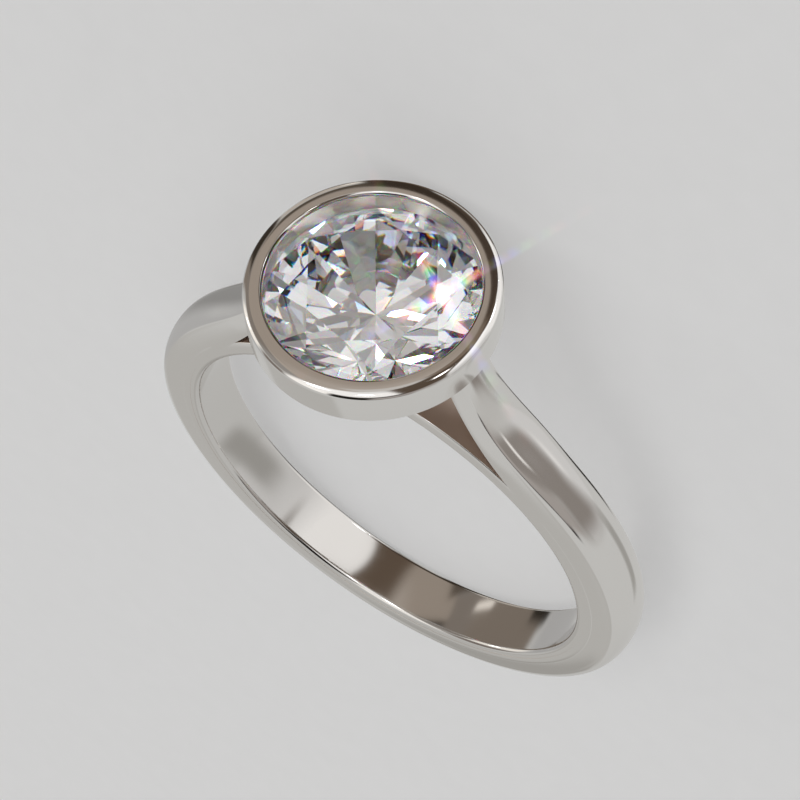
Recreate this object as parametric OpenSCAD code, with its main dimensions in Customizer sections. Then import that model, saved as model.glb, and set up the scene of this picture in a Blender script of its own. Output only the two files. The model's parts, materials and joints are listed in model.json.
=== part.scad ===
// Bezel-set ring with one round brilliant-cut stone.
// The ring is drawn upright first: X across the finger hole, Y along it, Z up to the head.
// Then it is laid on its side, where it rests on the bezel and on the far edge of the band.

/* [Finger hole] */
// Diameter of the finger hole
hole_d = 17.3; // [16:0.1:19]
// Width of the ring at the finger hole
hole_w = 2.3; // [2.1:0.1:2.6]
// Rounding of the two edges of the finger hole
hole_edge_r = 0.2; // [0.1:0.05:0.3]
// Thickness of the rail that runs all round the finger hole
rail_t = 0.75; // [0.6:0.05:0.9]

/* [Band] */
// Thickness of the band at its crest
band_t = 2.05; // [1.9:0.05:2.3]
// Width of the band across its two upper edges
band_top_w = 2.06; // [1.9:0.02:2.2]
// Height of the rounded top of the band
band_dome = 0.5; // [0.3:0.05:0.7]

/* [Shoulders] */
// Angle above the middle of the hole at which the shoulders leave the band
leave_angle = 36; // [32:1:40]
// Width of a shoulder's top where it meets the head
shoulder_top_w = 1.66; // [1.4:0.02:1.9]
// Height of the rounding along a shoulder's upper edges
shoulder_dome = 0.3; // [0.2:0.05:0.4]
// Squareness of a shoulder's upper edges, 2 is an ellipse
shoulder_square = 7; // [4:1:8]
// Height at which a shoulder's top runs into the bezel wall
shoulder_top_z = 12.7; // [12.6:0.05:12.8]
// Lean of a shoulder off the upright where it meets the head
shoulder_lean = 11; // [8:1:14]

/* [Head] */
// Outer diameter of the bezel
bezel_d = 9.06; // [9.06:0.02:9.3]
// Height of the rim above the middle of the finger hole
rim_z = 14.4; // [14.4:0.05:14.6]
// Height of the bezel's straight wall
wall_h = 1.58; // [1.5:0.02:1.7]
// Diameter of the flat land's inner edge
land_d = 7.84; // [7.8:0.02:7.9]
// Rounding of the rim's outer edge
rim_r = 0.24; // [0.15:0.01:0.3]
// Rounding of the rim's inner edge
lip_r = 0.12; // [0.08:0.01:0.14]
// Diameter of the open hole under the stone
light_hole_d = 1.4; // [1.3:0.05:1.5]
// Metal around the open hole under the stone
collar_w = 0.45; // [0.4:0.05:0.5]

/* [Stone] */
// Diameter of the stone
stone_d = 8; // [7.9:0.02:8]
// Width of the table across its flats, as a share of the diameter
table_share = 0.56; // [0.53:0.01:0.6]
// Height of the crown
crown_h = 1.16; // [1.1:0.02:1.2]
// Thickness of the girdle at its thick points
girdle_t = 0.22; // [0.18:0.01:0.24]
// Depth of the pavilion
pavilion_h = 3.4; // [3.35:0.01:3.45]
// Reach of the lower girdle facets towards the culet
lower_reach = 0.77; // [0.7:0.01:0.8]
// Reach of the star facets towards the girdle
star_reach = 0.55; // [0.5:0.01:0.6]
// Turn of the stone in its seat
stone_turn = 32.5; // [0:0.5:45]
// Gap between the stone and the metal
stone_gap = 0.03; // [0.02:0.01:0.04]

/* [Hidden] */
$fn = 96;

hole_r = hole_d / 2;
half_w = hole_w / 2;
rail_r = hole_r + rail_t;
crest_r = hole_r + band_t;
root_r = hole_r + rail_t / 2;
side_half_w = half_w - 0.01;
bezel_r = bezel_d / 2;
wall_z = rim_z - wall_h;
land_r = land_d / 2;
lip_in_r = land_r - lip_r;
light_hole_r = light_hole_d / 2;
collar_r = light_hole_r + collar_w;
collar_z = hole_r + rail_t / 3;
collar_h = 1.4;

stone_r = stone_d / 2;
stone_top_z = rim_z - 0.02;
girdle_z = stone_top_z - crown_h;
girdle_low_z = girdle_z - girdle_t;
culet_z = girdle_low_z - pavilion_h;
seat_r = stone_r + stone_gap;

// On its side the ring touches the floor at the foot of the bezel wall and at the rail's edge
rest_tilt = atan((bezel_r - half_w) / (wall_z + rail_r));

// Points of a cubic curve with two end points and two handles
function curve(a, b, c, d, t) =
    pow(1 - t, 3) * a + 3 * pow(1 - t, 2) * t * b + 3 * (1 - t) * t * t * c + pow(t, 3) * d;

// A point of the side view, by its angle and its distance from the middle of the hole
function side_point(angle, r) = [r * cos(angle), r * sin(angle)];

// Direction along the round of the band, upwards
function side_run(angle) = [-sin(angle), cos(angle)];

// Crest of the shoulder in the side view, from the head down to the band
shoulder_out = [bezel_r - 0.3, shoulder_top_z];
shoulder_out_handle = shoulder_out + 2.9 * [sin(shoulder_lean), -cos(shoulder_lean)];
band_out = side_point(leave_angle, crest_r);
band_out_handle = band_out + 2.7 * side_run(leave_angle);
function shoulder_crest(t) = curve(shoulder_out, shoulder_out_handle, band_out_handle, band_out, t);

// Underside of the shoulder, which ends inside the rail
shoulder_in = shoulder_out - [0.83, 0.3];
shoulder_in_handle = shoulder_in + 2.65 * [sin(shoulder_lean + 1), -cos(shoulder_lean + 1)];
band_in = side_point(leave_angle, root_r);
band_in_handle = band_in + 2.95 * side_run(leave_angle - 3);
function shoulder_root(t) = curve(shoulder_in, shoulder_in_handle, band_in_handle, band_in, t);

// Each station: inner point, crest point, lower half width, upper half width, dome, squareness
shoulder_steps = 16;
band_steps = 18;
function ease(t) = t * t * (3 - 2 * t);
function mix(a, b, t) = a + (b - a) * t;
function shoulder_station(t) = [
    shoulder_root(t),
    shoulder_crest(t),
    mix(0.5 * shoulder_top_w + 0.14, side_half_w, ease(min(1, 1.6 * t))),
    mix(0.5 * shoulder_top_w, 0.5 * band_top_w, ease(min(1, 1.6 * t))),
    mix(shoulder_dome, band_dome, ease(max(0, 2 * t - 1)) * 0.6),
    mix(shoulder_square, 2, ease(max(0, 2 * t - 1)) * 0.6)
];
function band_station(t) = [
    side_point(mix(leave_angle, -90, t), root_r),
    side_point(mix(leave_angle, -90, t), crest_r),
    side_half_w,
    0.5 * band_top_w,
    mix(shoulder_dome, band_dome, mix(0.6, 1, ease(min(1, 2.5 * t)))),
    mix(shoulder_square, 2, mix(0.6, 1, ease(min(1, 2.5 * t))))
];
right_stations = concat(
    [for (i = [0 : shoulder_steps - 1]) shoulder_station(i / shoulder_steps)],
    [for (i = [0 : band_steps]) band_station(i / band_steps)]
);
last_right = len(right_stations) - 1;
function mirrored(s) = [[-s[0].x, s[0].y], [-s[1].x, s[1].y], s[2], s[3], s[4], s[5]];
stations = concat(
    right_stations,
    [for (i = [last_right - 1 : -1 : 0]) mirrored(right_stations[i])]
);

// Outline of one station, as points across the ring and up from the inner point
bevel_w = 0.06;
bevel_h = rail_r - root_r - 0.03;
dome_steps = 16;
function signed_power(v, e) = sign(v) * pow(abs(v), e);
function outline(s) =
    let (rise = norm(s[1] - s[0]) - s[4])
    concat(
        [[-s[2], bevel_h], [bevel_w - s[2], 0], [s[2] - bevel_w, 0], [s[2], bevel_h]],
        [for (j = [0 : dome_steps])
            let (a = 180 * j / dome_steps)
            [s[3] * signed_power(cos(a), 2 / s[5]), rise + s[4] * signed_power(sin(a), 2 / s[5])]]
    );
function placed_outline(s) =
    let (up = (s[1] - s[0]) / norm(s[1] - s[0]))
    [for (p = outline(s)) [s[0].x + up.x * p.y, p.x, s[0].y + up.y * p.y]];

ring_points = dome_steps + 5;
band_points = [for (s = stations) each placed_outline(s)];
function ring_index(i, j) = i * ring_points + j % ring_points;
band_faces = concat(
    [for (i = [0 : len(stations) - 2], j = [0 : ring_points - 1])
        each [
            [ring_index(i, j), ring_index(i + 1, j + 1), ring_index(i, j + 1)],
            [ring_index(i, j), ring_index(i + 1, j), ring_index(i + 1, j + 1)]
        ]],
    [[for (j = [0 : ring_points - 1]) ring_index(0, j)]],
    [[for (j = [ring_points - 1 : -1 : 0]) ring_index(len(stations) - 1, j)]]
);

// Band and shoulders in one sweep, ending inside the bezel's metal on both sides
module band_and_shoulders() {
    polyhedron(points = band_points, faces = band_faces, convexity = 6);
}

// Section of the rail, with rounded edges at the finger hole
module rail_section() {
    polygon([
        [hole_r, -half_w + hole_edge_r],
        [hole_r + hole_edge_r, -half_w],
        [rail_r, -half_w],
        [rail_r, half_w],
        [hole_r + hole_edge_r, half_w],
        [hole_r, half_w - hole_edge_r]
    ]);
    for (side = [-1, 1])
        translate([hole_r + hole_edge_r, side * (half_w - hole_edge_r)])
            circle(r = hole_edge_r);
}

module rail() {
    rotate([90, 0, 0])
        rotate_extrude($fn = 180)
            rail_section();
}

// Outside of the bezel and of the cup that tapers down to the rail
module head_section() {
    polygon([
        [0, collar_z],
        [collar_r, collar_z],
        [collar_r, collar_z + collar_h],
        [bezel_r, wall_z],
        [bezel_r, rim_z - rim_r],
        [bezel_r - rim_r, rim_z],
        [land_r, rim_z],
        [lip_in_r, rim_z - lip_r],
        [0, rim_z - lip_r]
    ]);
    translate([bezel_r - rim_r, rim_z - rim_r])
        circle(r = rim_r);
}

// Hollow for the stone: light hole, cone under the pavilion, groove for the girdle, open lip
cone_foot_z = culet_z + 0.46;
groove_low_z = girdle_low_z - stone_gap;
groove_top_z = girdle_z + stone_gap;
lip_low_z = groove_top_z + seat_r - lip_in_r;
module seat_section() {
    difference() {
        polygon([
            [0, 0],
            [light_hole_r, 0],
            [light_hole_r, cone_foot_z],
            [seat_r, groove_low_z],
            [seat_r, groove_top_z],
            [lip_in_r, lip_low_z],
            [lip_in_r, rim_z - lip_r],
            [land_r, rim_z],
            [land_r, rim_z + 1],
            [0, rim_z + 1]
        ]);
        translate([land_r, rim_z - lip_r])
            circle(r = lip_r);
    }
}

// Crown vertices: table corners, star tips, girdle points
table_r = stone_r * table_share / cos(22.5);
star_r = stone_r * mix(table_share, 1, star_reach);
star_drop = (star_r * cos(22.5) - table_r) * crown_h / (stone_r - table_r);
lower_r = stone_r * (1 - lower_reach);
lower_rise = lower_r * cos(22.5) * pavilion_h / stone_r;
function polar(angle, r, z) = [r * cos(angle), r * sin(angle), z];

// Height at the middle of a half facet's edge, where its plane meets the round girdle
function plane_z(a, b, c, x, y) =
    let (n = cross(b - a, c - a))
    a.z - (n.x * (x - a.x) + n.y * (y - a.y)) / n.z;
function scallop(a, b, c) =
    plane_z(a, b, c, stone_r * cos(11.25), stone_r * sin(11.25));
upper_scallop_z = scallop(
    polar(0, star_r, stone_top_z - star_drop),
    polar(0, stone_r, girdle_z),
    polar(22.5, stone_r, girdle_z)
);
lower_scallop_z = scallop(
    polar(0, lower_r, culet_z + lower_rise),
    polar(0, stone_r, girdle_low_z),
    polar(22.5, stone_r, girdle_low_z)
);

// Vertex numbers: 8 table, 8 star, 32 upper girdle, 32 lower girdle, 8 lower tips, culet
stone_points = concat(
    [for (k = [0 : 7]) polar(45 * k + 22.5, table_r, stone_top_z)],
    [for (k = [0 : 7]) polar(45 * k, star_r, stone_top_z - star_drop)],
    [for (k = [0 : 31]) polar(11.25 * k, stone_r, k % 2 == 0 ? girdle_z : upper_scallop_z)],
    [for (k = [0 : 31]) polar(11.25 * k, stone_r, k % 2 == 0 ? girdle_low_z : lower_scallop_z)],
    [for (k = [0 : 7]) polar(45 * k, lower_r, culet_z + lower_rise)],
    [[0, 0, culet_z]]
);
function table_v(k) = k % 8;
function star_v(k) = 8 + k % 8;
function upper_v(k) = 16 + k % 32;
function lower_v(k) = 48 + k % 32;
function tip_v(k) = 80 + k % 8;
culet_v = 88;
stone_faces = concat(
    [[for (k = [7 : -1 : 0]) table_v(k)]],
    [for (k = [0 : 7]) [table_v(k), star_v(k), table_v(k + 7)]],
    [for (k = [0 : 7]) [table_v(k), star_v(k + 1), upper_v(4 * k + 2), star_v(k)]],
    [for (k = [0 : 7]) [star_v(k), upper_v(4 * k + 2), upper_v(4 * k + 1), upper_v(4 * k)]],
    [for (k = [0 : 7]) [star_v(k), upper_v(4 * k), upper_v(4 * k + 31), upper_v(4 * k + 30)]],
    [for (k = [0 : 31]) [upper_v(k), upper_v(k + 1), lower_v(k + 1), lower_v(k)]],
    [for (k = [0 : 7]) [tip_v(k), lower_v(4 * k), lower_v(4 * k + 1), lower_v(4 * k + 2)]],
    [for (k = [0 : 7]) [tip_v(k), lower_v(4 * k + 30), lower_v(4 * k + 31), lower_v(4 * k)]],
    [for (k = [0 : 7]) [culet_v, tip_v(k), lower_v(4 * k + 2), tip_v(k + 1)]]
);

// Lays the upright ring on its side, head towards the front
module at_rest() {
    rotate([-rest_tilt, 0, 0])
        multmatrix([[-1, 0, 0, 0], [0, 0, -1, 0], [0, -1, 0, 0], [0, 0, 0, 1]])
            children();
}

module ring_mount() {
    color("silver")
        at_rest()
            difference() {
                union() {
                    rail();
                    band_and_shoulders();
                    rotate_extrude($fn = 128)
                        head_section();
                }
                rotate_extrude($fn = 128)
                    seat_section();
            }
}

module stone() {
    color("azure", 0.6)
        at_rest()
            rotate([0, 0, stone_turn])
                polyhedron(points = stone_points, faces = stone_faces, convexity = 4);
}

ring_mount();
stone();
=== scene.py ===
import json
from math import acos, cos, pi, radians, sin, tan

import bmesh
import bpy
from mathutils import Matrix, Vector


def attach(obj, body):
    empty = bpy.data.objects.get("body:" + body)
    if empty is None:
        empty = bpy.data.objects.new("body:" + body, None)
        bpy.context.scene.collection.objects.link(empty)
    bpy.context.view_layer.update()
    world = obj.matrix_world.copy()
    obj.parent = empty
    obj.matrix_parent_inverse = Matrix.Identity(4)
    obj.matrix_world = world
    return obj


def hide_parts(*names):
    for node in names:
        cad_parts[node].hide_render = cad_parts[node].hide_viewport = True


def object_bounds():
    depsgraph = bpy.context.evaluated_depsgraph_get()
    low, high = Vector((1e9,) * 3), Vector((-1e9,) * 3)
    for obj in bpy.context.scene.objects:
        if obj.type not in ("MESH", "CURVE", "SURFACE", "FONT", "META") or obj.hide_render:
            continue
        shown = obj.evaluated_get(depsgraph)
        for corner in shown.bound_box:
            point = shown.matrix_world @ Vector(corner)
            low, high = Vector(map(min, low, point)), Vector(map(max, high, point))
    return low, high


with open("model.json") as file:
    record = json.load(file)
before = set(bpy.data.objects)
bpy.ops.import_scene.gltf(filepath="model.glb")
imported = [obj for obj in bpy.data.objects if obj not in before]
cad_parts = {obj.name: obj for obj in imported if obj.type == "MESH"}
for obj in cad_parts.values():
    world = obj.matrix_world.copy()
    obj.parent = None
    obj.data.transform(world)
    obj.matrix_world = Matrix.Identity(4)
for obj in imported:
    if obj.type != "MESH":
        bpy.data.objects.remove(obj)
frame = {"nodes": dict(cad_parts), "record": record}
cadLow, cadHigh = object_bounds()
record = frame["record"]
mm = 0.001
print("frame loaded")

# The ring upright: X across the finger hole, Y along it, Z up to the head. Sizes are in millimetres
fingerHole = record["mounts"][0]
holeRadius = fingerHole["dims"]["r_mm"]
holeCentre = Vector(fingerHole["pos_m"])
acrossRing = Vector((-1, 0, 0))
alongHole = -Vector(fingerHole["axis"]).normalized()
towardsHead = acrossRing.cross(alongHole)
ringToRow = Matrix((acrossRing, alongHole, towardsHead)).transposed()


def toRow(point):
    return holeCentre + ringToRow @ Vector(point) * mm


def mix(a, b, t):
    return a + (b - a) * t


def ease(t):
    t = min(1, max(0, t))
    return t * t * (3 - 2 * t)


def addObject(name, data):
    added = bpy.data.objects.new(name, data)
    bpy.context.scene.collection.objects.link(added)
    return added


def gridFaces(rows, columns, closedRows):
    faces = []
    for i in range(rows if closedRows else rows - 1):
        here, after = i * columns, (i + 1) % rows * columns
        for j in range(columns):
            k = (j + 1) % columns
            faces.append((here + j, here + k, after + k, after + j))
    if not closedRows:
        faces.append(tuple(range(columns)))
        faces.append(tuple(range((rows - 1) * columns, rows * columns)))
    return faces


def makeMesh(name, points, faces):
    bm = bmesh.new()
    corners = [bm.verts.new(toRow(p)) for p in points]
    for face in faces:
        bm.faces.new([corners[i] for i in face])
    bmesh.ops.recalc_face_normals(bm, faces=bm.faces)
    mesh = bpy.data.meshes.new(name)
    bm.to_mesh(mesh)
    bm.free()
    return addObject(name, mesh)


# recess: browner, darker and rougher silver, a painted shade on the faces tucked under the shoulders and the
# head
# seat: lighter than the polished silver, painted light on the stone's seat inside the bezel
finishes = ("polished", "bore", "recessPaintedShade", "collet", "seat")


def setFinish(piece, columns, byColumn):
    for face in piece.data.polygons:
        if len(face.vertices) == 4:  # the end faces, hidden in the head, have more corners
            face.material_index = finishes.index(byColumn.get(face.index % columns, "polished"))


def smoothShade(piece, sharpAngle):
    bm = bmesh.new()
    bm.from_mesh(piece.data)
    for edge in bm.edges:
        edge.smooth = edge.is_manifold and edge.calc_face_angle(pi) < radians(sharpAngle)
    for face in bm.faces:
        face.smooth = True
    bm.to_mesh(piece.data)
    bm.free()


def arc(centre, radii, fromAngle, toAngle, steps):
    wide, high = radii
    return [(centre[0] + wide * cos(radians(mix(fromAngle, toAngle, i / steps))),
             centre[1] + high * sin(radians(mix(fromAngle, toAngle, i / steps)))) for i in range(steps + 1)]


# Band and shoulders: one section is swept from the head, round the finger hole and back to the head
shank = dict(
    width=2.3,  # at the finger hole
    railThickness=0.75,
    thickness=2.05,  # at the crest
    topWidth=2.06,
    domeHeight=0.5,
    leaveAngle=36,  # where the shoulders leave the round of the band
    shoulderTopWidth=1.66,
    shoulderFlare=0.14,  # each side of a shoulder is this much further out at its foot
    shoulderDome=0.3,
    shoulderCrease=2,  # 2 meets the side in a crease, 1 is a full round
    softenedShare=0.6,  # of the change from crease to round, already made where the shoulders leave the band
    widenRate=1.6,  # above 1, the full width comes before the shoulder's foot
    bandSoftenRate=2.5,  # above 1, the full round comes before the band's lowest point
    shoulderTopZ=12.7,
    headOverlap=0.3,  # the shoulders start this far inside the bezel's wall
    crestLean=11,  # from upright, at the head
    crestPull=(2.9, 2.7),  # handle lengths of the crest's curve, at the head and at the band
    rootInset=(0.83, 0.3),  # inwards and down, from the start of the crest to that of the root
    rootLean=12,
    rootPull=(2.65, 2.95),
    rootTurn=3,  # degrees past the leave angle, for the root's handle at the band
    sideGap=0.0005,  # the band's sides stand this little outside the rail's
    sideCurve=1.6,  # above 1, the sides lean in mostly near the top
    shoulderSteps=110,
    bandSteps=120,
    domeSteps=72,
    sideSteps=10,
    edgeRound=0.1,  # where the sides meet the rounded top
    edgeSteps=6,
    holeEdgeRound=0.2,
    holeEdgeSteps=8,
    railEdgeRound=0.05,
    railEdgeSteps=3,
    railNarrowing=0.0125,  # at its outside, so that it runs into the band's side without a step
    roundSteps=360,
)

bezel = dict(
    radius=4.53,
    rimZ=14.4,
    wallHeight=1.58,
    openingRadius=3.8,
    rimRound=(0.42, 0.26),  # across and down
    rimSteps=24,
    crownEnd=82,  # degrees round the rim's rounding, from where the top is a flat crown up to the lip
    crownSteps=8,
    lipRound=(0.13, 0.18),
    lipSteps=16,
    footRound=0.05,
    footStart=-50,  # degrees
    footSteps=4,
    lightHoleRadius=0.7,
    lightHoleSteps=64,
    pointRoom=0.46,  # from the stone's point up to where the seat meets the light hole
    collarWidth=0.45,
    collarHeight=1.4,
    collarSink=0.25,  # the collar starts this high in the rail
    tableDrop=0.02,  # the stone's table lies this far under the rim
    stoneRadius=4.0,
    crownHeight=1.16,
    girdleThickness=0.22,
    pavilionHeight=3.4,
    stoneGap=0.03,
    roundSteps=384,
    sharpAngle=32,  # degrees, edges above it stay sharp
)


def sidePoint(angle, radius):
    return Vector((radius * cos(radians(angle)), radius * sin(radians(angle))))


def sideRun(angle):
    return Vector((-sin(radians(angle)), cos(radians(angle))))


def bezier(a, b, c, d, t):
    return a * (1 - t) ** 3 + b * 3 * (1 - t) ** 2 * t + c * 3 * (1 - t) * t * t + d * t ** 3


def shoulderCurve(start, lean, end, endAngle, pull):
    down = Vector((sin(radians(lean)), -cos(radians(lean))))
    return start, start + pull[0] * down, end + pull[1] * sideRun(endAngle), end


# A station gives the section's root and crest in the X-Z plane, its half widths at root and top, its dome's
# height and how sharply the dome meets the sides
def shankStations():
    s = shank
    leave, softened = s["leaveAngle"], s["softenedShare"]
    rootRadius = holeRadius + s["railThickness"] / 2
    crestRadius = holeRadius + s["thickness"]
    sideHalf = 0.5 * s["width"] + s["sideGap"]
    crestStart = Vector((bezel["radius"] - s["headOverlap"], s["shoulderTopZ"]))
    crest = shoulderCurve(crestStart, s["crestLean"], sidePoint(leave, crestRadius), leave, s["crestPull"])
    rootStart = crestStart - Vector(s["rootInset"])
    rootTurned = leave - s["rootTurn"]
    root = shoulderCurve(rootStart, s["rootLean"], sidePoint(leave, rootRadius), rootTurned, s["rootPull"])
    stations = []
    for i in range(s["shoulderSteps"]):
        t = i / s["shoulderSteps"]
        widen, soften = ease(s["widenRate"] * t), ease(2 * t - 1) * softened
        stations.append((
            bezier(*root, t),
            bezier(*crest, t),
            mix(0.5 * s["shoulderTopWidth"] + s["shoulderFlare"], sideHalf, widen),
            mix(0.5 * s["shoulderTopWidth"], 0.5 * s["topWidth"], widen),
            mix(s["shoulderDome"], s["domeHeight"], soften),
            mix(s["shoulderCrease"], 1, soften),
        ))
    for i in range(s["bandSteps"] + 1):
        t = i / s["bandSteps"]
        angle, soften = mix(leave, -90, t), mix(softened, 1, ease(s["bandSoftenRate"] * t))
        stations.append((
            sidePoint(angle, rootRadius),
            sidePoint(angle, crestRadius),
            sideHalf,
            0.5 * s["topWidth"],
            mix(s["shoulderDome"], s["domeHeight"], soften),
            mix(s["shoulderCrease"], 1, soften),
        ))
    left = [(Vector((-a.x, a.y)), Vector((-b.x, b.y)), *rest) for a, b, *rest in stations[-2::-1]]
    return stations + left


def shankOutline(station):
    inner, crest, lowHalf, topHalf, dome, crease = station
    rise = (crest - inner).length - dome
    edge = shank["edgeRound"]
    side = []
    for i in range(shank["sideSteps"]):
        t = i / shank["sideSteps"]
        side.append(Vector((mix(lowHalf, topHalf, t ** shank["sideCurve"]), (rise - edge) * t)))
    edgeAngle = acos(1 - edge / topHalf)
    edgeTop = Vector((topHalf - edge, rise + dome * sin(edgeAngle) ** crease))
    corner, edgeFoot = Vector((topHalf, rise)), Vector((topHalf, rise - edge))
    for i in range(shank["edgeSteps"]):
        t = i / shank["edgeSteps"]
        side.append(edgeFoot * (1 - t) ** 2 + corner * 2 * t * (1 - t) + edgeTop * t * t)
    top = []
    for i in range(shank["domeSteps"] + 1):
        a = mix(edgeAngle, pi - edgeAngle, i / shank["domeSteps"])
        top.append((topHalf * cos(a), rise + dome * sin(a) ** crease))
    return side + top + [(-y, h) for y, h in reversed(side)]


def makeShank():
    points = []
    stations = shankStations()
    for station in stations:
        inner, crest = station[:2]
        up = (crest - inner).normalized()
        outline = shankOutline(station)
        for y, h in outline:
            points.append((inner.x + up.x * h, y, inner.y + up.y * h))
    piece = makeMesh("shank", points, gridFaces(len(stations), len(outline), False))
    # the shank's underside gets the recess finish, a painted shade
    setFinish(piece, len(outline), {len(outline) - 1: "recessPaintedShade"})
    return piece


def makeRail():
    half, r, e, o = 0.5 * shank["width"], holeRadius, shank["holeEdgeRound"], shank["railEdgeRound"]
    outer, outerHalf = r + shank["railThickness"], half - shank["railNarrowing"]
    holeSteps, outerSteps = shank["holeEdgeSteps"], shank["railEdgeSteps"]
    profile = (arc((r + e, -half + e), (e, e), -90, -180, holeSteps)
               + arc((r + e, half - e), (e, e), 180, 90, holeSteps)
               + arc((outer - o, outerHalf - o), (o, o), 90, 0, outerSteps)
               + arc((outer - o, o - outerHalf), (o, o), 0, -90, outerSteps))
    boreFaces = 2 * holeSteps + 1
    outerFace = boreFaces + outerSteps + 1
    points = []
    for i in range(shank["roundSteps"]):
        a = 2 * pi * i / shank["roundSteps"]
        points += [(radius * cos(a), y, radius * sin(a)) for radius, y in profile]
    piece = makeMesh("rail", points, gridFaces(shank["roundSteps"], len(profile), True))
    # the rail's outside gets the recess finish, a painted shade
    setFinish(piece, len(profile), {i: "bore" for i in range(boreFaces)} | {outerFace: "recessPaintedShade"})
    return piece


def headProfile():
    b, rimZ = bezel, bezel["rimZ"]
    wallZ = rimZ - b["wallHeight"]
    girdleZ = rimZ - b["tableDrop"] - b["crownHeight"]
    lowGirdleZ = girdleZ - b["girdleThickness"]
    culetZ = lowGirdleZ - b["pavilionHeight"]
    seatRadius = b["stoneRadius"] + b["stoneGap"]
    lipRadius = b["openingRadius"]
    grooveTopZ = girdleZ + b["stoneGap"]
    collarRadius = b["lightHoleRadius"] + b["collarWidth"]
    collarZ = holeRadius + b["collarSink"]
    r, rim, lip, foot = b["radius"], b["rimRound"], b["lipRound"], b["footRound"]
    end = radians(b["crownEnd"])
    crownOut, crownIn = r - rim[0] * (1 - cos(end)), lipRadius + lip[0]
    crownDrop = 0.5 * (crownOut - crownIn) * rim[1] / rim[0] / tan(end)
    crown = []
    for i in range(1, b["crownSteps"]):
        t = i / b["crownSteps"]
        crown.append((mix(crownOut, crownIn, t), rimZ - crownDrop * (1 - t) ** 2))
    return ([(collarRadius, collarZ), (collarRadius, collarZ + b["collarHeight"])]
            + arc((r - foot, wallZ + foot), (foot, foot), b["footStart"], 0, b["footSteps"])
            + arc((r - rim[0], rimZ - crownDrop - rim[1] * sin(end)), rim, 0, b["crownEnd"], b["rimSteps"])
            + crown
            + arc((lipRadius + lip[0], rimZ - lip[1]), lip, 90, 180, b["lipSteps"])
            + [(lipRadius, grooveTopZ + seatRadius - lipRadius),
               (seatRadius, grooveTopZ),
               (seatRadius, lowGirdleZ - b["stoneGap"]),
               (b["lightHoleRadius"], culetZ + b["pointRoom"]),
               (b["lightHoleRadius"], collarZ)])


def makeHead():
    profile = headProfile()
    points = []
    for i in range(bezel["roundSteps"]):
        a = 2 * pi * i / bezel["roundSteps"]
        points += [(radius * cos(a), radius * sin(a), z) for radius, z in profile]
    piece = makeMesh("head", points, gridFaces(bezel["roundSteps"], len(profile), True))
    lipEnd = len(profile) - 6  # five more points after it: the seat and the light hole
    # the collar under the head gets the recess finish, a painted shade
    setFinish(piece, len(profile), {0: "recessPaintedShade", 1: "recessPaintedShade", lipEnd: "collet"}
              # the seat and the light hole get the seat finish, a painted light
              | {i: "seat" for i in range(lipEnd + 1, len(profile))})
    return piece


def cutLightHole(piece):
    steps, radius = bezel["lightHoleSteps"], bezel["lightHoleRadius"]
    points = [(radius * cos(2 * pi * i / steps), radius * sin(2 * pi * i / steps), z)
              for z in (holeRadius - 1, holeRadius + 2) for i in range(steps)]
    cutter = makeMesh("lightHoleCutter", points, gridFaces(2, steps, False))
    cut = piece.modifiers.new("lightHole", "BOOLEAN")
    cut.operation, cut.solver, cut.object = "DIFFERENCE", "EXACT", cutter
    evaluated = piece.evaluated_get(bpy.context.evaluated_depsgraph_get())
    mesh = bpy.data.meshes.new_from_object(evaluated)
    piece.modifiers.clear()
    piece.data = mesh
    bpy.data.objects.remove(cutter)


def makeRingMount():
    head, rail, band = makeHead(), makeRail(), makeShank()
    cutLightHole(rail)
    joined = bmesh.new()
    for part in (head, rail, band):
        joined.from_mesh(part.data)
    mesh = bpy.data.meshes.new("ringMetal")
    joined.to_mesh(mesh)
    joined.free()
    for part in (head, rail, band):
        bpy.data.objects.remove(part)
    piece = addObject("ringMetal", mesh)
    smoothShade(piece, bezel["sharpAngle"])
    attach(piece, "root")
    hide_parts("ring_mount")
    return piece


ringMetal = makeRingMount()
print("metal made")


def newMaterial(name):
    material = bpy.data.materials.new(name)
    material.use_nodes = True
    material.node_tree.nodes.clear()
    return material, material.node_tree.nodes, material.node_tree.links


silverLook = dict(
    polished=dict(colour=(0.9, 0.888, 0.872, 1), roughness=(0.07, 0.12)),
    bore=dict(colour=(0.8, 0.786, 0.768, 1), roughness=(0.09, 0.13)),
    # painted shade: browner and darker than the polished silver, on the recessed faces
    recessPaintedShade=dict(colour=(0.64, 0.54, 0.47, 1), roughness=(0.4, 0.6)),
    collet=dict(colour=(0.9, 0.85, 0.81, 1), roughness=(0.16, 0.26)),
    # painted light: lighter than the polished silver, inside the bezel where little light comes
    seat=dict(colour=(0.94, 0.925, 0.91, 1), roughness=(0.28, 0.4)),
    cloudScale=260,
    cloudDetail=4,
    scratchScale=2600,
    scratchDetail=2,
    scratchStrength=0.25,
    scratchDepth=0.00000035,
)


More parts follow.
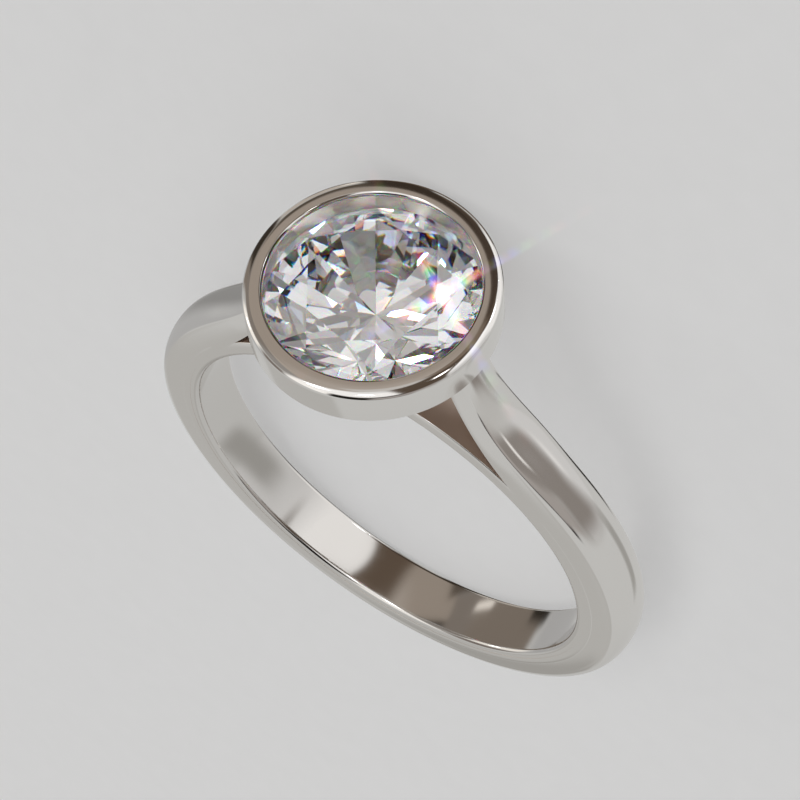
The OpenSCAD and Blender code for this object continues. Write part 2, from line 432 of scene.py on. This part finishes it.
def makeSilver(finish):
    look = silverLook[finish]
    material, nodes, links = newMaterial(finish + "Silver")
    output = nodes.new("ShaderNodeOutputMaterial")
    metal = nodes.new("ShaderNodeBsdfPrincipled")
    metal.inputs["Base Color"].default_value = look["colour"]
    metal.inputs["Metallic"].default_value = 1
    links.new(metal.outputs["BSDF"], output.inputs["Surface"])
    place = nodes.new("ShaderNodeTexCoord")
    cloud = nodes.new("ShaderNodeTexNoise")
    cloud.inputs["Scale"].default_value = silverLook["cloudScale"]
    cloud.inputs["Detail"].default_value = silverLook["cloudDetail"]
    links.new(place.outputs["Object"], cloud.inputs["Vector"])
    spread = nodes.new("ShaderNodeMapRange")
    spread.inputs["To Min"].default_value, spread.inputs["To Max"].default_value = look["roughness"]
    links.new(cloud.outputs["Fac"], spread.inputs["Value"])
    links.new(spread.outputs["Result"], metal.inputs["Roughness"])
    scratches = nodes.new("ShaderNodeTexNoise")
    scratches.inputs["Scale"].default_value = silverLook["scratchScale"]
    scratches.inputs["Detail"].default_value = silverLook["scratchDetail"]
    links.new(place.outputs["Object"], scratches.inputs["Vector"])
    bump = nodes.new("ShaderNodeBump")
    bump.inputs["Strength"].default_value = silverLook["scratchStrength"]
    bump.inputs["Distance"].default_value = silverLook["scratchDepth"]
    links.new(scratches.outputs["Fac"], bump.inputs["Height"])
    links.new(bump.outputs["Normal"], metal.inputs["Normal"])
    return material


for finish in finishes:
    ringMetal.data.materials.append(makeSilver(finish))

stoneLook = dict(
    refraction=(2.148, 2.16, 2.175),  # red, green and blue
    insideRefraction=2.16,
    tint=(0.985, 0.99, 1.0, 1),
)


def makeStoneMaterial():
    look = stoneLook
    material, nodes, links = newMaterial("brilliantCutStone")
    output = nodes.new("ShaderNodeOutputMaterial")
    colours = ((1, 0, 0, 1), (0, 1, 0, 1), (0, 0, 1, 1))
    total = None
    for colour, ior in zip(colours, look["refraction"]):
        glass = nodes.new("ShaderNodeBsdfGlass")
        glass.inputs["Color"].default_value = colour
        glass.inputs["Roughness"].default_value = 0
        glass.inputs["IOR"].default_value = ior
        if total is None:
            total = glass
            continue
        add = nodes.new("ShaderNodeAddShader")
        links.new(total.outputs[0], add.inputs[0])
        links.new(glass.outputs[0], add.inputs[1])
        total = add
    inside = nodes.new("ShaderNodeBsdfGlass")
    inside.inputs["Color"].default_value = look["tint"]
    inside.inputs["Roughness"].default_value = 0
    inside.inputs["IOR"].default_value = look["insideRefraction"]
    side = nodes.new("ShaderNodeNewGeometry")
    choose = nodes.new("ShaderNodeMixShader")
    links.new(side.outputs["Backfacing"], choose.inputs["Fac"])
    links.new(total.outputs[0], choose.inputs[1])
    links.new(inside.outputs[0], choose.inputs[2])
    links.new(choose.outputs[0], output.inputs["Surface"])
    return material


stone = frame["nodes"]["stone"]
stone.data.materials.clear()
stone.data.materials.append(makeStoneMaterial())
print("materials made")


def ringDirection(azimuth, elevation):
    a, e = radians(azimuth), radians(elevation)
    return ringToRow @ Vector((cos(a) * cos(e), sin(a) * cos(e), sin(e)))


# Studio: soft cards and dark screens round the ring, by azimuth and elevation, in degrees, in the upright
# ring's own directions: azimuth from +X towards +Y, elevation up to the head. The base gives the light by
# elevation alone. A panel is a range of both angles or a disc (azimuth, elevation, radius), and lies over the
# panels before it. Its edge fades over the width soft, and over lift, if given, towards the head
studioBase = (
    (-90, (0.5, 0.495, 0.48)),
    (-60, (0.55, 0.545, 0.53)),
    (-15, (0.56, 0.555, 0.54)),
    (10, (0.48, 0.47, 0.45)),
    (40, (0.46, 0.44, 0.42)),
    (75, (0.72, 0.71, 0.7)),
    (90, (0.85, 0.84, 0.83)),
)
studioPanels = (
    dict(name="leftLow", azimuth=(146, 214), elevation=(-55, -18), soft=8, colour=(0.435, 0.43, 0.425)),
    dict(name="leftCard", azimuth=(186, 212), elevation=(-14, 24), soft=6, colour=(0.95, 0.9, 0.83)),
    dict(name="leftWall", azimuth=(146, 226), elevation=(27, 56), soft=6, colour=(0.215, 0.185, 0.16)),
    dict(name="leftHigh", azimuth=(203, 234), elevation=(26, 60), soft=8, colour=(0.28, 0.26, 0.24)),
    dict(name="sideShade", azimuth=(186, 262), elevation=(-78, -50), soft=8, colour=(0.46, 0.45, 0.43)),
    dict(name="lowShade", azimuth=(196, 250), elevation=(-80, -70), soft=5, colour=(0.35, 0.34, 0.32)),
    dict(name="frontLeftScreen", azimuth=(217, 236), elevation=(-24, 16), soft=6, colour=(0.2, 0.17, 0.15)),
    dict(name="frontCard", azimuth=(-122, -91), elevation=(-2, 66), soft=7, colour=(1.0, 0.97, 0.93)),
    dict(name="topCard", azimuth=(-120, -25), elevation=(36, 76), soft=6, colour=(0.95, 0.93, 0.91)),
    dict(name="frontScreen", azimuth=(-90, -32), elevation=(-12, 31), soft=5, colour=(0.012, 0.01, 0.008)),
    dict(name="arch", disc=(45, 10, 80), elevation=(14, 90), soft=4, colour=(0.09, 0.065, 0.047)),
    dict(name="archTop", azimuth=(60, 134), elevation=(60, 78), soft=6, colour=(0.19, 0.145, 0.11)),
    dict(name="rightLow", disc=(45, 10, 50), elevation=(-10, 90), soft=3, colour=(0.62, 0.61, 0.6)),
    dict(name="rightCard", disc=(45, 10, 50), elevation=(38, 90), soft=3, lift=40, colour=(1.06, 1.04, 1.02)),
    dict(name="rimCard", azimuth=(36, 92), elevation=(6, 42), soft=9, colour=(0.92, 0.9, 0.88)),
    dict(name="rimShade", disc=(100, 44, 17), soft=2, colour=(0.06, 0.043, 0.032)),
    dict(name="rightShade", azimuth=(-62, -14), elevation=(-6, 22), soft=9, colour=(0.36, 0.33, 0.31)),
    dict(name="landWall", azimuth=(150, 236), elevation=(55, 91), soft=3, colour=(0.4, 0.35, 0.3)),
    dict(name="backScreen", azimuth=(112, 129), elevation=(-28, 50), soft=3, colour=(0.04, 0.029, 0.021)),
    dict(name="backLeftScreen", azimuth=(150, 178), elevation=(-14, 30), soft=6, colour=(0.21, 0.175, 0.145)),
    dict(name="landDisc", disc=(151, 61, 18.6), soft=1.6, colour=(0.33, 0.28, 0.235)),
    dict(name="landTop", azimuth=(106, 236), elevation=(65, 88), soft=3, lift=9, colour=(0.4, 0.35, 0.305)),
    dict(name="topWall", disc=(130, 84, 9), soft=4, colour=(0.55, 0.52, 0.49)),
    dict(name="archEdge", disc=(74, 54, 6.5), soft=3, colour=(0.09, 0.065, 0.047)),
    dict(name="rimGap", azimuth=(127.5, 146.5), elevation=(28, 46), soft=3, colour=(0.09, 0.072, 0.056)),
    dict(name="paleStrip", azimuth=(129.5, 148.5), elevation=(-14, 24), soft=4, colour=(0.47, 0.42, 0.37)),
    dict(name="paleCore", azimuth=(129, 133), elevation=(1, 13), soft=2, colour=(0.9, 0.85, 0.78)),
    dict(name="blackStrip", azimuth=(150, 157), elevation=(-17, -4), soft=3, colour=(0.02, 0.016, 0.012)),
    dict(name="lowBackShade", azimuth=(131, 141), elevation=(-44, -15), soft=4, colour=(0.09, 0.075, 0.06)),
    dict(name="boreGlint", azimuth=(151.5, 154), elevation=(22, 31), soft=1.5, colour=(0.95, 0.88, 0.8)),
    dict(name="farScreen", azimuth=(70, 106), elevation=(-36, -14), soft=4, colour=(0.012, 0.01, 0.008)),
    dict(name="glint", disc=(76.6, 38.92, 0.18), soft=0.08, colour=(170, 170, 180)),  # the star on the stone
    dict(name="lampFront", disc=(-112, 50, 3.5), soft=2, colour=(6, 5.9, 5.7)),
    dict(name="lampHigh", disc=(-70, 60, 3), soft=2, colour=(5, 5, 5.1)),
    dict(name="lampRight", disc=(10, 64, 3.5), soft=2, colour=(5, 4.9, 4.8)),
    dict(name="lampBack", disc=(62, 46, 3), soft=2, colour=(6, 6, 6.2)),
    dict(name="lampLeft", disc=(-163, 9, 3), soft=2, colour=(5, 5, 5)),
    dict(name="lampLeftLow", disc=(-112, 57, 3), soft=2, colour=(5, 5, 5.2)),
)
stoneLight = dict(colour=(1.0, 1.0, 1.01), share=0.26)  # plain light mixed in inside the stone


def makeStudio():
    world = bpy.data.worlds.new("studio")
    bpy.context.scene.world = world
    world.use_nodes = True
    nodes, links = world.node_tree.nodes, world.node_tree.links
    nodes.clear()
    output = nodes.new("ShaderNodeOutputWorld")
    light = nodes.new("ShaderNodeBackground")
    links.new(light.outputs[0], output.inputs["Surface"])
    direction = nodes.new("ShaderNodeTexCoord").outputs["Generated"]

    def along(axis):
        dot = nodes.new("ShaderNodeVectorMath")
        dot.operation = "DOT_PRODUCT"
        links.new(direction, dot.inputs[0])
        dot.inputs[1].default_value = axis
        return dot.outputs["Value"]

    def maths(operation, *values):
        node = nodes.new("ShaderNodeMath")
        node.operation = operation
        for socket, value in zip(node.inputs, values):
            if isinstance(value, (int, float)):
                socket.default_value = value
            else:
                links.new(value, socket)
        return node.outputs[0]

    def fade(value, full, none):
        node = nodes.new("ShaderNodeMapRange")
        node.interpolation_type = "SMOOTHSTEP"
        links.new(value, node.inputs["Value"])
        node.inputs["From Min"].default_value, node.inputs["From Max"].default_value = full, none
        node.inputs["To Min"].default_value, node.inputs["To Max"].default_value = 1, 0
        return node.outputs["Result"]

    def window(value, limits, soft):
        middle, half = sum(limits) / 2, (limits[1] - limits[0]) / 2
        away = maths("ABSOLUTE", maths("WRAP", maths("SUBTRACT", value, middle), 180, -180))
        return fade(away, half - soft / 2, half + soft / 2)

    def disc(centreAzimuth, centreElevation, radius, soft):
        apart = nodes.new("ShaderNodeVectorMath")
        apart.operation = "DISTANCE"
        links.new(direction, apart.inputs[0])
        apart.inputs[1].default_value = ringDirection(centreAzimuth, centreElevation)
        full, none = (2 * sin(radians(radius + way * soft / 2) / 2) for way in (-1, 1))
        return fade(apart.outputs["Value"], full, none)

    def laidOver(under, over, share, name):
        node = nodes.new("ShaderNodeMix")
        node.label = name
        node.data_type = "RGBA"
        links.new(share, node.inputs["Factor"])
        links.new(under, node.inputs[6])  # its first and second colour
        node.inputs[7].default_value = (*over, 1)
        return node.outputs[2]

    azimuth = maths("DEGREES", maths("ARCTAN2", along(alongHole), along(acrossRing)))
    elevation = maths("DEGREES", maths("ARCSINE", along(towardsHead)))
    ramp = nodes.new("ShaderNodeValToRGB")
    links.new(maths("MULTIPLY_ADD", elevation, 1 / 180, 0.5), ramp.inputs["Fac"])
    for i, (height, colour) in enumerate(studioBase):  # a new ramp comes with two stops
        at = height / 180 + 0.5
        stop = ramp.color_ramp.elements[i] if i < 2 else ramp.color_ramp.elements.new(at)
        stop.position = at
        stop.color = (*colour, 1)
    colour = ramp.outputs["Color"]
    for panel in studioPanels:
        soft = panel["soft"]
        shape = window(azimuth, panel["azimuth"], soft) if "azimuth" in panel else disc(*panel["disc"], soft)
        if "elevation" in panel:
            shape = maths("MULTIPLY", shape, window(elevation, panel["elevation"], panel.get("lift", soft)))
        colour = laidOver(colour, panel["colour"], shape, panel["name"])
    rays = nodes.new("ShaderNodeLightPath")
    inStone = maths("MULTIPLY", rays.outputs["Is Transmission Ray"], stoneLight["share"])
    links.new(laidOver(colour, stoneLight["colour"], inStone, "stoneLight"), light.inputs["Color"])


makeStudio()

# Small cards near the ring, which only mirror rays see. Each lies in one plane of the upright ring: its place
# gives X, Y and Z in millimetres, one of them a single level and the others ranges. Its edges fade over the
# widths at the low and the high end of each range, and a round one has a centre, a radius and a soft edge
nearCards = (
    dict(name="leftShoulderCard", place=(-10, (-0.6, 3.9), (2.6, 9)),
         fades=((1.6, 0.5), (3, 0.3)), colour=(0.275, 0.27, 0.262)),
    dict(name="shoulderCard", place=(8, (-4.2, 3.2), (9.9, 11.8)),
         fades=((0.6, 0.8), (0.5, 0.3)), colour=(0.5, 0.49, 0.47)),
    dict(name="lowBrownCard", place=(12, (-2.3, 4.4), (4.2, 9.9)),
         fades=((1.5, 3.4), (2.2, 0.7)), colour=(0.25, 0.225, 0.205)),
    dict(name="highBrownCard", place=(25, (-12, 19.5), (10.4, 14.9)),
         fades=((3, 14), (2.6, 0.9)), colour=(0.25, 0.225, 0.205)),
    dict(name="brightStrip", place=(16, (-3.1, -2), (10.8, 12.6)),
         fades=((0.4, 0.4), (0.5, 0.4)), colour=(0.9, 0.87, 0.84)),
    dict(name="boreCard", place=(25, (8.5, 17), (-26, 7)),
         fades=((2.5, 3), (9, 10)), colour=(0.35, 0.34, 0.32)),
    dict(name="boreLobeCard", place=((0, 18), (4.6, 18), 13.9),
         round=(9.2, 9, 8, 1), colour=(0.93, 0.91, 0.89)),
    dict(name="boreBrownCard", place=((-6.5, 3), (4.6, 14.5), 13.95),
         fades=((3, 0.3), (0.1, 0.3)), colour=(0.115, 0.083, 0.06)),
    dict(name="lipCard", place=((-3.4, -1.7), 0.6, (14.25, 16.4)),
         fades=((0.3, 0.3), (0.1, 0.4)), colour=(0.03, 0.022, 0.016)),
    dict(name="lipCardRight", place=(2.6, (-0.6, 1.85), (14.25, 15.6)),
         fades=((0.2, 0.2), (0.1, 0.3)), colour=(0.03, 0.022, 0.016)),
    dict(name="leftDarkCard", place=(-16, (1, 7.8), (9, 24.5)),
         fades=((1.6, 1.2), (2, 2)), colour=(0.035, 0.027, 0.02)),
)


def makeNearCard(look):
    place = look["place"]
    spread = [axis for axis in range(3) if isinstance(place[axis], tuple)]
    points = []
    for ends in ((0, 0), (1, 0), (1, 1), (0, 1)):
        point = list(place)
        for axis, end in zip(spread, ends):
            point[axis] = place[axis][end]
        points.append(point)
    mesh = bpy.data.meshes.new(look["name"])
    mesh.from_pydata(points, [], [(0, 1, 2, 3)])
    card = addObject(look["name"], mesh)
    card.matrix_world = Matrix.Translation(holeCentre) @ ringToRow.to_4x4() @ Matrix.Diagonal((mm, mm, mm, 1))
    material, nodes, links = newMaterial(look["name"])
    output = nodes.new("ShaderNodeOutputMaterial")
    coordinates = nodes.new("ShaderNodeTexCoord")
    parts = nodes.new("ShaderNodeSeparateXYZ")
    links.new(coordinates.outputs["Object"], parts.inputs[0])
    limits = []
    if "round" in look:
        middle = list(place)
        middle[spread[0]], middle[spread[1]], radius, soft = look["round"]
        away = nodes.new("ShaderNodeVectorMath")
        away.operation = "DISTANCE"
        links.new(coordinates.outputs["Object"], away.inputs[0])
        away.inputs[1].default_value = middle
        limits.append((away.outputs["Value"], radius, radius - soft))
    for axis, widths in zip(spread, look.get("fades", ())):
        low, high = place[axis]
        limits += [(parts.outputs[axis], low, low + widths[0]), (parts.outputs[axis], high, high - widths[1])]
    share = None
    for value, edge, inner in limits:
        fade = nodes.new("ShaderNodeMapRange")
        fade.interpolation_type = "SMOOTHSTEP"
        fade.inputs["From Min"].default_value, fade.inputs["From Max"].default_value = edge, inner
        links.new(value, fade.inputs["Value"])
        if share is None:
            share = fade.outputs["Result"]
            continue
        both = nodes.new("ShaderNodeMath")
        both.operation = "MULTIPLY"
        links.new(share, both.inputs[0])
        links.new(fade.outputs["Result"], both.inputs[1])
        share = both.outputs[0]
    clear = nodes.new("ShaderNodeBsdfTransparent")
    glow = nodes.new("ShaderNodeEmission")
    glow.inputs["Color"].default_value = (*look["colour"], 1)
    blend = nodes.new("ShaderNodeMixShader")
    links.new(share, blend.inputs["Fac"])
    links.new(clear.outputs["BSDF"], blend.inputs[1])
    links.new(glow.outputs["Emission"], blend.inputs[2])
    links.new(blend.outputs["Shader"], output.inputs["Surface"])
    mesh.materials.append(material)
    for way in ("camera", "diffuse", "transmission", "shadow"):
        setattr(card, "visible_" + way, False)


for look in nearCards:
    makeNearCard(look)

floorLook = dict(
    size=1.2,
    colour=(0.42, 0.424, 0.43, 1),
    roughness=0.85,
    glow=0.335,
    glowColour=(1, 1.005, 1.01, 1),
    grain=900,
    grainShare=0.03,  # of the glow, up and down
)


def makeFloor():
    half = floorLook["size"] / 2
    mesh = bpy.data.meshes.new("floor")
    corners = [(x * half, y * half, cadLow.z) for x, y in ((-1, -1), (1, -1), (1, 1), (-1, 1))]
    mesh.from_pydata(corners, [], [(0, 1, 2, 3)])
    floor = addObject("floor", mesh)
    material, nodes, links = newMaterial("paleFloor")
    output = nodes.new("ShaderNodeOutputMaterial")
    paper = nodes.new("ShaderNodeBsdfPrincipled")
    paper.inputs["Base Color"].default_value = floorLook["colour"]
    paper.inputs["Roughness"].default_value = floorLook["roughness"]
    paper.inputs["Emission Color"].default_value = floorLook["glowColour"]
    place = nodes.new("ShaderNodeTexCoord")
    grain = nodes.new("ShaderNodeTexNoise")
    grain.inputs["Scale"].default_value = floorLook["grain"]
    links.new(place.outputs["Object"], grain.inputs["Vector"])
    spread = nodes.new("ShaderNodeMapRange")
    spread.inputs["To Min"].default_value = floorLook["glow"] * (1 - floorLook["grainShare"])
    spread.inputs["To Max"].default_value = floorLook["glow"] * (1 + floorLook["grainShare"])
    links.new(grain.outputs["Fac"], spread.inputs["Value"])
    links.new(spread.outputs["Result"], paper.inputs["Emission Strength"])
    links.new(paper.outputs["BSDF"], output.inputs["Surface"])
    mesh.materials.append(material)
    floor.visible_glossy = False
    floor.visible_transmission = False


makeFloor()


def fromRing(azimuth, elevation):
    a, e = radians(azimuth), radians(elevation)
    return Vector((sin(a) * cos(e), -cos(a) * cos(e), sin(e)))


# The lamp's and the camera's azimuths go from the front, -Y, towards +X
lampLook = dict(size=1.2, distance=0.8, azimuth=-140, elevation=75, power=1.5)


def makeLamp():
    lamp = bpy.data.lights.new("softLamp", "AREA")
    lamp.size = lampLook["size"]
    lamp.energy = lampLook["power"]
    holder = addObject("softLamp", lamp)
    way = fromRing(lampLook["azimuth"], lampLook["elevation"])
    holder.location = way * lampLook["distance"]
    holder.rotation_mode = "QUATERNION"
    holder.rotation_quaternion = way.to_track_quat("Z", "Y")
    holder.visible_glossy = False
    holder.visible_transmission = False


makeLamp()

cameraLook = dict(
    azimuth=-22.334,
    elevation=31.577,
    roll=-140.142,
    distance=109.403 * mm,
    aim=Vector((1.4455, -2.0733, -2.2264)) * mm,
    lens=127.06,
    sensor=36,
    clip=(0.005, 10),
)


def makeCamera():
    look = cameraLook
    back = fromRing(look["azimuth"], look["elevation"])
    data = bpy.data.cameras.new("camera")
    data.lens = look["lens"]
    data.sensor_width = look["sensor"]
    data.clip_start, data.clip_end = look["clip"]
    camera = addObject("camera", data)
    camera.rotation_mode = "QUATERNION"
    upright = (-back).to_track_quat("-Z", "Y")
    camera.rotation_quaternion = upright @ Matrix.Rotation(radians(look["roll"]), 3, "Z").to_quaternion()
    camera.location = look["aim"] + back * look["distance"]
    bpy.context.scene.camera = camera


makeCamera()

scene = bpy.context.scene
scene.view_settings.view_transform = "Standard"
scene.cycles.max_bounces = 32
scene.cycles.transmission_bounces = 28
scene.cycles.glossy_bounces = 12
scene.cycles.sample_clamp_indirect = 40

# The glint's star
starLook = dict(threshold=8, strength=1, streaks=4, angle=30, iterations=5, fade=0.946, colourShift=0.9)


def makeStar():
    scene.use_nodes = True
    nodes, links = scene.node_tree.nodes, scene.node_tree.links
    nodes.clear()
    picture = nodes.new("CompositorNodeRLayers")
    star = nodes.new("CompositorNodeGlare")
    star.glare_type = "STREAKS"
    star.inputs["Threshold"].default_value = starLook["threshold"]
    star.inputs["Strength"].default_value = starLook["strength"]
    star.inputs["Streaks"].default_value = starLook["streaks"]
    star.inputs["Streaks Angle"].default_value = radians(starLook["angle"])
    star.inputs["Iterations"].default_value = starLook["iterations"]
    star.inputs["Fade"].default_value = starLook["fade"]
    star.inputs["Color Modulation"].default_value = starLook["colourShift"]
    result = nodes.new("CompositorNodeComposite")
    links.new(picture.outputs["Image"], star.inputs["Image"])
    links.new(star.outputs["Image"], result.inputs["Image"])


makeStar()
print("studio made")
